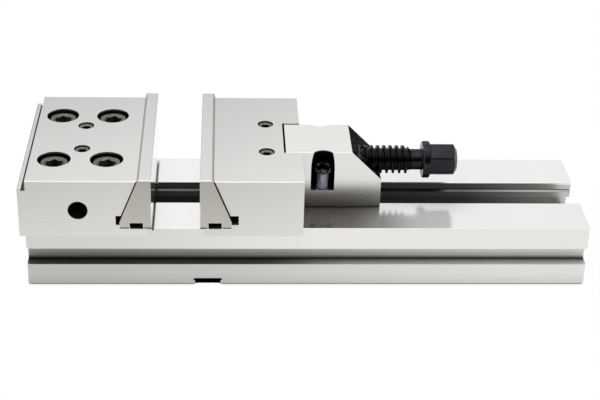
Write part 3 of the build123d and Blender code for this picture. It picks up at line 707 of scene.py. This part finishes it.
class Turned:
    """Closed mesh grown ring by ring along +X. Its first and last rings have no radius."""

    def __init__(self, angles):
        self.angles = angles
        self.points = []
        self.faces = []
        self.last_row = None

    def add_points(self, places):
        """Adds one ring of (along, radius) places, one for each angle."""
        start = len(self.points)
        for angle, (along, radius) in zip(self.angles, places):
            self.points.append((along, radius * math.cos(angle), radius * math.sin(angle)))
        return start

    def join(self, low, high, closed=True):
        count = len(self.angles)
        for i in range(count if closed else count - 1):
            j = (i + 1) % count
            self.faces.append((low + i, low + j, high + j, high + i))

    def row(self, places):
        start = self.add_points(places)
        if self.last_row is not None:
            self.join(self.last_row, start)
        self.last_row = start

    def rings(self, *places):
        """Round rings, each given as (along, radius)."""
        for place in places:
            self.row([place] * len(self.angles))

    def fluted_ring(self, along, radius, depth):
        """Ring whose points alternate in radius, for a knurl."""
        self.row([(along, radius - depth * (i % 2)) for i in range(len(self.angles))])

    def hexagon(self, width, along, limit=math.inf):
        """Hexagon ring. along gives the place of a point from its radius."""
        radii = [min(hexagon_radius(angle, width), limit) for angle in self.angles]
        self.row([(along(radius), radius) for radius in radii])

    def thread(self, left, right, radius, foot, profile, pitch, depth):
        """Right-hand thread between two places, run out in cones to the foot radius."""
        turns = range(-1, math.ceil((right - left) / pitch) + 2)
        starts = []
        for share, drop in [(turn + share, drop) for turn in turns for share, drop in profile]:
            places = []
            for angle in self.angles:
                along = left + pitch * (share + angle / FULL_TURN)
                along = min(max(along, left), right)
                cone = foot + min(along - left, right - along)
                places.append((along, min(radius - depth * drop, cone)))
            starts.append(self.add_points(places))
        self.join(self.last_row, starts[0])
        for low, high in zip(starts, starts[1:]):
            self.join(low, high, closed=False)
        # The first column carries on, one turn further, where the last column ends
        turn_rows = len(profile)
        last = len(self.angles) - 1
        for i in range(len(starts) - turn_rows - 1):
            self.faces.append((
                starts[i] + last,
                starts[i + turn_rows],
                starts[i + turn_rows + 1],
                starts[i + 1] + last,
            ))
        self.last_row = starts[-1]

    def placed(self, origin, direction, spin=0.0):
        """The points with the axis laid along a direction from an origin."""
        turn = Vector((1, 0, 0)).rotation_difference(Vector(direction)).to_matrix()
        turn = turn @ Matrix.Rotation(spin, 3, "X")
        return [Vector(origin) + turn @ Vector(point) for point in self.points]


def make_piece(name, copies, material, body, *replaced):
    """One piece from several turned meshes, each given as (mesh, origin, direction, spin)."""
    points = []
    faces = []
    for turned, origin, direction, spin in copies:
        start = len(points)
        points += turned.placed(origin, direction, spin)
        faces += [tuple(start + corner for corner in face) for face in turned.faces]
    mesh = bpy.data.meshes.new(name)
    mesh.from_pydata(points, [], faces)
    work = bmesh.new()
    work.from_mesh(mesh)
    bmesh.ops.remove_doubles(work, verts=work.verts, dist=MERGE_DISTANCE)
    bmesh.ops.recalc_face_normals(work, faces=work.faces)
    work.to_mesh(mesh)
    work.free()
    mesh.shade_smooth()
    mesh.set_sharp_from_angle(angle=SHARP_ANGLE)
    mesh.materials.append(material)
    piece = bpy.data.objects.new(name, mesh)
    bpy.context.scene.collection.objects.link(piece)
    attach(piece, body)
    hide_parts(*replaced)
    return piece


# Thread profiles over one pitch, in points of (share of the pitch, share of the depth)
SPINDLE_PROFILE = (
    (0.0, 0.0), (0.28, 0.0), (0.33, 0.12), (0.40, 0.85),
    (0.45, 1.0), (0.83, 1.0), (0.88, 0.85), (0.95, 0.12),
)
SCREW_PROFILE = ((0.0, 0.0), (0.15, 0.0), (0.50, 1.0), (0.65, 1.0))

# Spindle. Names without LENGTH, WIDTH, DROP, PITCH, DEPTH or CHAMFER are radii.
NOSE_LENGTH = 8.5 * MM
NOSE_CHAMFER = 0.8 * MM
PIN_GROOVE = 4.9 * MM
PIN_GROOVE_LENGTH = 5.1 * MM
JOURNAL = 6.6 * MM
JOURNAL_LENGTH = 6.95 * MM
THREAD = 9.0 * MM
THREAD_PITCH = 4.0 * MM
THREAD_DEPTH = 2.0 * MM
NECK_LENGTH = 7.6 * MM
COLLAR = 11.75 * MM
COLLAR_LENGTH = 4.6 * MM
COLLAR_CHAMFER = 0.5 * MM
HEX_WIDTH = 19.0 * MM
HEX_LENGTH = 17.4 * MM
HEX_BLANK = 10.72 * MM
HEX_END_LENGTH = 2.4 * MM
HEX_END_DROP = 3.8 * MM

# Columns of the spindle's mesh, in degrees from the middle of each flat of its hexagon
FLAT_COLUMNS = (-28.8, -24, -18, -12, -6, 0, 6, 12, 18, 24, 28.8)


def make_spindle(material):
    low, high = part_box("spindle")
    axis = Vector((0, 0, (low.z + high.z) / 2))
    groove_left = low.x + NOSE_LENGTH
    groove_right = groove_left + PIN_GROOVE_LENGTH
    thread_left = groove_right + JOURNAL_LENGTH
    hex_left = high.x - HEX_LENGTH
    collar_left = hex_left - COLLAR_LENGTH
    thread_right = collar_left - NECK_LENGTH
    hex_shoulder = high.x - HEX_END_LENGTH
    end_slope = HEX_END_LENGTH / HEX_END_DROP

    spindle = Turned([math.radians(flat + column) for flat in range(0, 360, 60) for column in FLAT_COLUMNS])
    spindle.rings(
        (low.x, 0.0),
        (low.x, JOURNAL - NOSE_CHAMFER),
        (low.x + NOSE_CHAMFER, JOURNAL),
        (groove_left, JOURNAL),
        (groove_left, PIN_GROOVE),
        (groove_right, PIN_GROOVE),
        (groove_right, JOURNAL),
        (thread_left, JOURNAL),
    )
    spindle.thread(thread_left, thread_right, THREAD, JOURNAL, SPINDLE_PROFILE, THREAD_PITCH, THREAD_DEPTH)
    spindle.rings(
        (collar_left - COLLAR_CHAMFER, JOURNAL),
        (collar_left, JOURNAL + COLLAR_CHAMFER),
        (collar_left, COLLAR - COLLAR_CHAMFER),
        (collar_left + COLLAR_CHAMFER, COLLAR),
        (hex_left - COLLAR_CHAMFER, COLLAR),
        (hex_left, COLLAR - COLLAR_CHAMFER),
    )
    spindle.hexagon(HEX_WIDTH, lambda radius: hex_left, HEX_BLANK)
    spindle.hexagon(HEX_WIDTH, lambda radius: hex_shoulder + (HEX_BLANK - radius) * end_slope, HEX_BLANK)
    spindle.rings((high.x, HEX_BLANK - HEX_END_DROP), (high.x, 0.0))
    piece = make_piece("threaded_spindle", [(spindle, axis, (1, 0, 0), 0)], material, "spindle", "spindle")


# Socket screws
SCREW_COLUMNS = 48
SCREW_DEPTH_SHARE = 0.61
SOCKET_MOUTH = 0.5 * MM
SOCKET_MOUTH_SLOPE = 0.9
SOCKET_CONE = 0.25
SHANK_CHAMFER = 1.0 * MM
KNURL_DEPTH = 0.22 * MM
UP = (0, 0, 1)


class ScrewSize(NamedTuple):
    """Sizes of a socket screw. edge is the chamfer of its top, and a set screw has no head."""

    radius: float
    pitch: float
    edge: float
    socket: float
    socket_depth: float
    head_radius: float = 0.0
    head_height: float = 0.0


CAP_SCREW = ScrewSize(
    radius=6.0 * MM, pitch=1.75 * MM, edge=1.0 * MM, socket=10.0 * MM, socket_depth=6.0 * MM,
    head_radius=9.0 * MM, head_height=12.0 * MM,
)
SET_SCREW = ScrewSize(
    radius=5.0 * MM, pitch=1.5 * MM, edge=0.9 * MM, socket=5.0 * MM, socket_depth=5.0 * MM,
)
LOCK_SCREW = ScrewSize(
    radius=3.0 * MM, pitch=1.0 * MM, edge=0.5 * MM, socket=7.0 * MM, socket_depth=6.0 * MM,
    head_radius=5.0 * MM, head_height=15.8 * MM,
)
LOCK_SCREW_LENGTH = 35.8 * MM

# Each cap screw and set screw stops at its own turn, some degrees about a middle, by a sine of its
# place. Phases are in radians per metre.
CAP_SCREW_TURN = 30.0
CAP_SCREW_TURN_SPREAD = 7.0
CAP_SCREW_PHASE = (900, 310)
SET_SCREW_TURN_SPREAD = 8.0
SET_SCREW_PHASE = 700


def add_head(screw, size):
    """Knurled head, from its underside up to the top chamfer."""
    knurl_low = -size.head_height + size.edge
    knurl_high = -2 * size.edge
    screw.rings((-size.head_height, size.head_radius), (knurl_low, size.head_radius))
    screw.fluted_ring(knurl_low + size.edge / 2, size.head_radius, KNURL_DEPTH)
    screw.fluted_ring(knurl_high - size.edge / 2, size.head_radius, KNURL_DEPTH)
    screw.rings((knurl_high, size.head_radius))


def socket_screw(size, length):
    """Socket screw with its top at 0 and its end at -length."""
    foot = size.radius - SHANK_CHAMFER
    top_radius = size.head_radius or size.radius
    thread_right = -size.head_height - size.pitch if size.head_height else -size.edge
    depth = SCREW_DEPTH_SHARE * size.pitch
    mouth = hexagon_radius(SIXTH_TURN / 2, size.socket) + SOCKET_MOUTH

    screw = Turned([FULL_TURN * i / SCREW_COLUMNS for i in range(SCREW_COLUMNS)])
    screw.rings((-length, 0.0), (-length, foot))
    screw.thread(-length, thread_right, size.radius, foot, SCREW_PROFILE, size.pitch, depth)
    if size.head_height:
        screw.rings((-size.head_height, foot))
        add_head(screw, size)
    screw.rings((-size.edge, top_radius), (0, top_radius - size.edge), (0, mouth))
    screw.hexagon(size.socket, lambda reach: -(mouth - reach) * SOCKET_MOUTH_SLOPE)
    screw.hexagon(size.socket, lambda reach: -size.socket_depth)
    screw.rings((-size.socket_depth - SOCKET_CONE * size.socket, 0.0))
    return screw


def make_cap_screws(material):
    low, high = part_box("fixed_jaw_cap_screws")
    reach = CAP_SCREW.head_radius
    screw = socket_screw(CAP_SCREW, high.z - low.z)
    copies = []
    for x in (low.x + reach, high.x - reach):
        for y in (low.y + reach, high.y - reach):
            phase = CAP_SCREW_PHASE[0] * x + CAP_SCREW_PHASE[1] * y
            turn = math.radians(CAP_SCREW_TURN + CAP_SCREW_TURN_SPREAD * math.sin(phase))
            copies.append((screw, (x, y, high.z), UP, turn))
    piece = make_piece("cap_screws", copies, material, "vise_base", "fixed_jaw_cap_screws")


def make_set_screws(node, body, material):
    low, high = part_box(node)
    x = (low.x + high.x) / 2
    screw = socket_screw(SET_SCREW, high.z - low.z)
    copies = []
    for y in (low.y + SET_SCREW.radius, high.y - SET_SCREW.radius):
        turn = math.radians(SET_SCREW_TURN_SPREAD) * math.sin(SET_SCREW_PHASE * y)
        copies.append((screw, (x, y, high.z), UP, turn))
    piece = make_piece(node + "_detail", copies, material, body, node)


def make_lock_screw(body, material):
    joint = joints[body + "_turn"]
    screw = socket_screw(LOCK_SCREW, LOCK_SCREW_LENGTH)
    piece = make_piece(body + "_detail", [(screw, joint["pos_m"], joint["axis"], 0)], material, body, body)


# Table, a hair below the base. It ends a little behind the vise, which only mirror images show.
FLOOR_HALF = 1.2
FLOOR_DROP = 0.2 * MM
FLOOR_TONE = (0.8, 0.8, 0.8)
FLOOR_ROUGHNESS = 0.9
TABLE_EDGE = 0.35
TABLE_EDGE_SOFTNESS = 0.15
# Reach of the painted shadow on the table near the vise and under its base
CONTACT_REACH = 5 * MM
CONTACT_OPENNESS = (0.0, 0.75)
UNDER_REACH = 1 * MM


def table_light(tree, where, glossy):
    """How white the table looks. It is black past its edge in mirror images, and painted shadow darkens it
    close to what stands on it and under the base."""
    low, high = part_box("base")
    off_middle = tree.math("ABSOLUTE", where["Y"])
    past = tree.ramp(where["Y"], TABLE_EDGE, TABLE_EDGE + TABLE_EDGE_SOFTNESS)
    under = tree.product(
        tree.between(where["X"], low.x, high.x),
        tree.ramp(off_middle, high.y - UNDER_REACH, high.y - 2 * UNDER_REACH),
    )
    return tree.product(
        tree.math("SUBTRACT", 1.0, tree.product(past, glossy)),
        tree.openness(CONTACT_REACH, CONTACT_OPENNESS, 0.0),
        tree.math("SUBTRACT", 1.0, under),
    )


def floor_white():
    """White to the camera and in mirror images, with painted shadow near the vise and under its base, and a
    dull grey surface to all other light.
    """
    material, tree, shader = new_material("floor_white")
    shader.inputs["Base Color"].default_value = colour(FLOOR_TONE)
    shader.inputs["Roughness"].default_value = FLOOR_ROUGHNESS
    shader.inputs["Specular IOR Level"].default_value = 0.0
    where = tree.split(tree.add("ShaderNodeTexCoord").outputs["Object"])
    path = tree.add("ShaderNodeLightPath")
    glossy = path.outputs["Is Glossy Ray"]
    seen = tree.math("MAXIMUM", path.outputs["Is Camera Ray"], glossy)
    seen = tree.math("MAXIMUM", seen, path.outputs["Is Transmission Ray"])
    white = tree.add("ShaderNodeEmission")
    tree.put(table_light(tree, where, glossy), white.inputs["Strength"])
    mix = tree.add("ShaderNodeMixShader")
    for source, socket in zip((seen, shader.outputs[0], white.outputs[0]), mix.inputs):
        tree.put(source, socket)
    tree.put(mix.outputs[0], material.node_tree.get_output_node("CYCLES").inputs[0])
    return material


def make_floor():
    corners = [(x * FLOOR_HALF, y * FLOOR_HALF, 0) for x, y in ((-1, -1), (1, -1), (1, 1), (-1, 1))]
    mesh = bpy.data.meshes.new("floor")
    mesh.from_pydata(corners, [], [(0, 1, 2, 3)])
    mesh.materials.append(floor_white())
    floor = bpy.data.objects.new("floor", mesh)
    floor.location.z = -FLOOR_DROP
    bpy.context.scene.collection.objects.link(floor)


# Room that the steel mirrors: dark behind the camera and near the horizon, and bright overhead.
# Ramps run over the parts of a direction along Y and Z.
FRONT = (-0.1, -0.7)
FRONT_BELOW = (0.80, 0.62)
HORIZON_BELOW = (0.32, 0.12)
OVERHEAD_ABOVE = (0.85, 1.0)
OVERHEAD = 1.6
DARK_ROOM = (0.075, 0.062, 0.046)
SKY_FILL = (0.4, 0.4, 0.4)
WHITE = (1.0, 1.0, 1.0)


def make_world():
    world = bpy.data.worlds.new("studio")
    bpy.context.scene.world = world
    world.use_nodes = True
    world.node_tree.nodes.clear()
    tree = Nodes(world.node_tree)
    output = tree.add("ShaderNodeOutputWorld")
    direction = tree.split(tree.add("ShaderNodeTexCoord").outputs["Generated"])
    height = direction["Z"]
    front = tree.product(tree.ramp(direction["Y"], *FRONT), tree.ramp(height, *FRONT_BELOW))
    dark = tree.math("MAXIMUM", front, tree.ramp(height, *HORIZON_BELOW))
    bright = tree.ramp(height, *OVERHEAD_ABOVE, 1.0, OVERHEAD)
    room = tree.mix(dark, bright, colour(DARK_ROOM))

    path = tree.add("ShaderNodeLightPath")
    mirrored = tree.math("MAXIMUM", path.outputs["Is Glossy Ray"], path.outputs["Is Transmission Ray"])
    light = tree.mix(mirrored, colour(SKY_FILL), room)
    light = tree.mix(path.outputs["Is Camera Ray"], light, colour(WHITE))
    background = tree.add("ShaderNodeBackground")
    tree.put(light, background.inputs["Color"])
    tree.put(background.outputs[0], output.inputs[0])


# Lamp above and behind the vise, which gives soft light without a mirror image
LAMP_PLACE = (-0.15, 0.4, 1.2)
LAMP_AIM = (0, 0, 0.04)
LAMP_SIZE = (1.0, 0.8)
LAMP_POWER = 10.0


def make_lamp():
    data = bpy.data.lights.new("key_light", "AREA")
    data.shape = "RECTANGLE"
    data.size, data.size_y = LAMP_SIZE
    data.energy = LAMP_POWER
    lamp = bpy.data.objects.new("key_light", data)
    bpy.context.scene.collection.objects.link(lamp)
    lamp.location = LAMP_PLACE
    aim = Vector(LAMP_AIM) - Vector(LAMP_PLACE)
    lamp.rotation_euler = aim.to_track_quat("-Z", "Y").to_euler()
    lamp.visible_camera = False
    lamp.visible_glossy = False


make_camera()
materials = make_materials()
dress_nodes(materials)
make_spindle(materials["spindle"])
make_cap_screws(materials["screw"])
make_set_screws("fixed_plate_set_screws", "vise_base", materials["screw"])
make_set_screws("movable_plate_set_screws", "movable_jaw", materials["screw"])
for lock_screw in ("lock_screw_near", "lock_screw_far"):
    make_lock_screw(lock_screw, materials["lock_screw"])
make_floor()
make_world()
make_lamp()

bpy.context.scene.view_settings.view_transform = "Standard"
